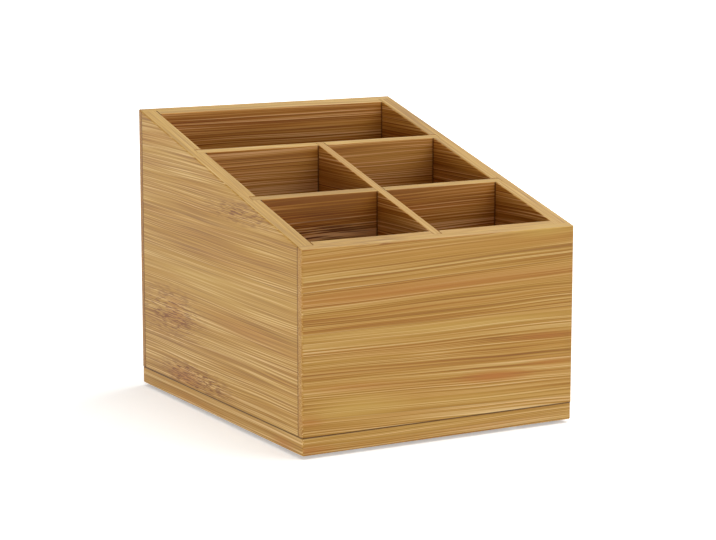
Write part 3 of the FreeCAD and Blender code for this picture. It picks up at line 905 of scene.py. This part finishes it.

# %% [markdown]
# ## Bamboo for every board
# Each board is cut from other strips, so each has its own seed, its own height for the first glue line
# and its own lean of the fibres. It gets the finish twice, in two slots: the coated one, and the sanded
# one with painted shade for the faces that look into the box.

# %% Boards and their bamboo
# brown is how much painted shade the faces inside get; corners are where lines of painted shade lie in the
# inner corners, in mm from the middle
SORTS = {
    "front_panel": {"grain": "X", "fan": (-0.03, 0.032), "first_line": 74.6, "seed": 1.0, "run": 1.3,
                    "marks": FRONT_MARKS, "contrast": 0.98},
    "left_side_panel": {"grain": "Y", "fan": (0.0, 0.01), "first_line": 72.0, "seed": 27.0, "run": 0.7,
                        "marks": LEFT_MARKS, "contrast": 1.2},
    "back_panel": {"grain": "X", "fan": (0.01, 0.0), "first_line": 76.0, "seed": 14.0,
                   "marks": BACK_MARKS, "brown": 0.8, "corners": (INNER_WIDTH,)},
    "right_side_panel": {"grain": "Y", "fan": (0.0, 0.0), "first_line": 68.0, "seed": 41.0,
                         "marks": RIGHT_MARKS, "brown": 0.75},
    "rear_cross_divider": {"grain": "X", "fan": (0.0, 0.01), "first_line": 70.0, "seed": 52.0,
                           "marks": REAR_MARKS, "brown": 0.75, "corners": (HALF_DIVIDER, INNER_WIDTH)},
    "front_cross_divider": {"grain": "X", "fan": (0.0, 0.02), "first_line": 66.0, "seed": 65.0,
                            "marks": CROSS_MARKS, "brown": 0.85, "corners": (HALF_DIVIDER, INNER_WIDTH)},
    "centre_divider": {"grain": "Y", "fan": (0.0, 0.0), "first_line": 73.0, "seed": 78.0,
                       "marks": MIDDLE_MARKS},
}
for node, sort in SORTS.items():
    board = BOARDS[node]
    board.data.materials.append(laminated_bamboo(f"coated_bamboo_{board.name}", False, **sort))
    board.data.materials.append(laminated_bamboo(f"sanded_shaded_bamboo_{board.name}", True, **sort))
    for face in board.data.polygons:
        face.material_index = int(looks_inwards(face))
    sanded = sum(face.area for face in board.data.polygons if face.material_index)
    print(f"{board.name}: {sanded / MM ** 2:.0f} square mm sanded")

# %% [markdown]
# ## Bamboo for the base
# Only the base board's edges show well, and its strips are seen from the side on all four of them, so the
# streaks run along each edge in turn.

# %% Base board
base_bamboo = laminated_bamboo("coated_bamboo_base", False, grain="edges", fan=(0.0, 0.0), first_line=5.0,
                               seed=91.0, marks=BASE_MARKS)
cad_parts["base_panel"].material_slots[0].material = base_bamboo
print("base board:", base_bamboo.name)

# %% [markdown]
# ## Screws: zinc-plated steel
# Eight small countersunk screws come up through the base. Bright zinc plating is a crystalline coat, so
# it is never quite even: blurred patches of a millimetre or two differ in tone and gloss. The crystals
# themselves are a few hundredths of a millimetre, too fine to draw, so the fine noise is 0.3 mm.

# %% Zinc-plated steel
PATCH = 1.6     # mm across
CRYSTAL = 0.3   # mm across
GRIT = 0.01     # mm deep
steel, tree, shader = new_finish("zinc_plated_steel")
here = add_node(tree, "TexCoord").node.outputs["Object"]
patches = add_node(tree, "TexNoise", inputs={"Vector": here, "Scale": 1 / (PATCH * MM), "Detail": 2.0})
crystals = add_node(tree, "TexNoise", inputs={"Vector": here, "Scale": 1 / (CRYSTAL * MM), "Detail": 1.0})
metal = mix_node(tree, patches, linear("A9ABAC"), linear("CBC9C2"))
gloss = add_node(tree, "MapRange", inputs={"Value": patches, "To Min": 0.24, "To Max": 0.44})
grit = add_node(tree, "Bump", inputs={"Strength": 0.15, "Distance": GRIT * MM, "Height": crystals})
tree.links.new(metal, shader.inputs["Base Color"])
tree.links.new(gloss, shader.inputs["Roughness"])
tree.links.new(grit, shader.inputs["Normal"])
shader.inputs["Metallic"].default_value = 1.0
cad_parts["base_screws"].material_slots[0].material = steel
print("screws:", steel.name)

# %% [markdown]
# ## Pads: foam rubber
# Four thin round pads keep the screw heads off the desk. Closed-cell foam rubber is a soft black grey,
# quite matt, and pitted where its cells were cut open. The cells are about 0.4 mm, drawn here as Voronoi
# cells, and its grey is mottled in patches of a few millimetres. The pits get painted shade.

# %% Foam rubber
CELL = 0.4     # mm across
MOTTLE = 2.0   # mm across
DENT = 0.05    # mm deep
rubber, tree, shader = new_finish("closed_cell_foam_rubber")
here = add_node(tree, "TexCoord").node.outputs["Object"]
cells = add_node(tree, "TexVoronoi", inputs={"Vector": here, "Scale": 1 / (CELL * MM)})
mottle = add_node(tree, "TexNoise", inputs={"Vector": here, "Scale": 1 / (MOTTLE * MM), "Detail": 2.0})
grey = mix_node(tree, mottle, linear("2A2A2B"), linear("434345"))
# painted shade in the pits of the cells
pit_shade = add_node(tree, "MapRange", inputs={"Value": cells, "From Max": 0.5, "To Min": 0.7, "To Max": 0.0})
grey = mix_node(tree, pit_shade, grey, linear("1B1B1C"))
dents = add_node(tree, "Bump", inputs={"Strength": 0.5, "Distance": DENT * MM, "Height": cells})
tree.links.new(grey, shader.inputs["Base Color"])
tree.links.new(dents, shader.inputs["Normal"])
shader.inputs["Roughness"].default_value = 0.85
shader.inputs["IOR"].default_value = 1.52
PADS = [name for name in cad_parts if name.startswith("foot_pad")]
for name in PADS:
    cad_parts[name].material_slots[0].material = rubber
print("pads:", PADS)

# %% [markdown]
# ## The studio
# The box stands on a sheet of white paper in a white room. The paper's own colour gives the pale floor.
# Away from the box it fades to pure white, but only as the camera sees it, in mirrors and through glass
# too, so no extra light falls on the wood.

# %% White paper floor
PAPER_SIZE = 8.0    # m
NEAR_GLOW = 0.4     # seen near the box, on top of the paper's own light
FADE = (0.3, 1.1)   # m from the box where the paper starts to fade to pure white, and is white


def as_seen(tree):
    """1 for what the camera sees, straight or by way of a mirror or glass, and 0 for light on things."""
    rays = add_node(tree, "LightPath").node.outputs
    seen = math_node(tree, "MAXIMUM", rays["Is Camera Ray"], rays["Is Glossy Ray"])
    return math_node(tree, "MAXIMUM", seen, rays["Is Transmission Ray"])


bpy.ops.object.select_all(action="DESELECT")
bpy.ops.mesh.primitive_plane_add(size=PAPER_SIZE)
floor = bpy.context.object
floor.name = "paper_floor"
paper, tree, shader = new_finish("white_paper")
shader.inputs["Base Color"].default_value = linear("F3F3F1")
shader.inputs["Roughness"].default_value = 0.9
here = add_node(tree, "TexCoord").node.outputs["Object"]
far = add_node(tree, "VectorMath", {"operation": "LENGTH"}, {0: here}).node.outputs["Value"]
glow = add_node(tree, "MapRange", {"interpolation_type": "SMOOTHSTEP"},
                {"Value": far, "From Min": FADE[0], "From Max": FADE[1], "To Min": NEAR_GLOW, "To Max": 1.0})
glow = math_node(tree, "MULTIPLY", as_seen(tree), glow)
shader.inputs["Emission Color"].default_value = (1, 1, 1, 1)
tree.links.new(glow, shader.inputs["Emission Strength"])
floor.data.materials.append(paper)
print("floor:", paper.name)

# %% [markdown]
# ## White walls around
# The room is plain white to the camera and in reflections, which is what puts a pale sheen on the satin
# coat. As light on the wood it counts for little, so that the insides of the bins stay dark, as they do
# in the real box.

# %% White room
SKY = 0.14   # the room as diffuse light
world = bpy.data.worlds.new("white_room")
world.use_nodes = True
bpy.context.scene.world = world
tree = world.node_tree
background = tree.nodes["Background"]
background.inputs["Color"].default_value = (1, 1, 1, 1)
strength = add_node(tree, "MapRange", inputs={"Value": as_seen(tree), "To Min": SKY, "To Max": 1.0})
tree.links.new(strength, background.inputs["Strength"])
print("room:", world.name)

# %% [markdown]
# ## Lamps
# A wide overhead lamp lights the top edges and the paper, which throws most of the light on the upright
# faces from below, so it never reaches into the bins. Two lamps from the right open up the front. Two
# long low strips lift the left and the front face evenly.

# %% Soft lamps
LAMP_DISTANCE = 1.8           # m
AIM = Vector((0, 0, 0.06))    # m, the middle of the box
SQUARE = (1.2, 1.2)           # m, width and height
LONG_STRIP = (1.6, 0.24)


def soft_lamp(name, azimuth, elevation, size, power):
    """A rectangular lamp that looks at the box. Azimuth 0 degrees is the front and 90 the right."""
    a, e = math.radians(azimuth), math.radians(elevation)
    away = Vector((math.sin(a) * math.cos(e), -math.cos(a) * math.cos(e), math.sin(e))) * LAMP_DISTANCE
    bpy.ops.object.light_add(type="AREA", location=AIM + away)
    lamp = bpy.context.object
    lamp.name = name
    lamp.rotation_euler = (-away).to_track_quat("-Z", "Y").to_euler()
    lamp.data.shape = "RECTANGLE"
    lamp.data.size, lamp.data.size_y = size
    lamp.data.energy = power
    print(f"{name}: {power} W at {azimuth}, {elevation} degrees")


soft_lamp("overhead_lamp", 0, 85, SQUARE, 19)
soft_lamp("right_lamp", 100, 50, SQUARE, 14)
soft_lamp("front_right_lamp", 45, 40, SQUARE, 8)
soft_lamp("left_strip", -85, 2, LONG_STRIP, 14)
soft_lamp("front_strip", 10, 2, LONG_STRIP, 5.5)

# %% [markdown]
# ## Camera
# The box is seen from the front left and a little above, with a long lens, so its upright edges stay
# nearly parallel. The place and the lens come from fitting the model's edges to the picture's.

# %% Camera
CAMERA_PLACE = (-0.49966, -0.89288, 0.24179)   # m
CAMERA_TURN = math.radians(29.467)     # to the right of straight ahead
CAMERA_PITCH = math.radians(9.835)     # down
LENS = 110.45                          # mm
SENSOR = 36                            # mm wide

bpy.ops.object.camera_add(location=CAMERA_PLACE)
camera = bpy.context.object
bpy.context.scene.camera = camera
ahead = math.cos(CAMERA_PITCH)
look = Vector((math.sin(CAMERA_TURN) * ahead, math.cos(CAMERA_TURN) * ahead, -math.sin(CAMERA_PITCH)))
camera.rotation_euler = look.to_track_quat("-Z", "Y").to_euler()
camera.data.lens = LENS
camera.data.sensor_width = SENSOR
camera.data.clip_start = 0.05
bpy.context.scene.view_settings.view_transform = "Standard"
print("camera lens:", camera.data.lens)
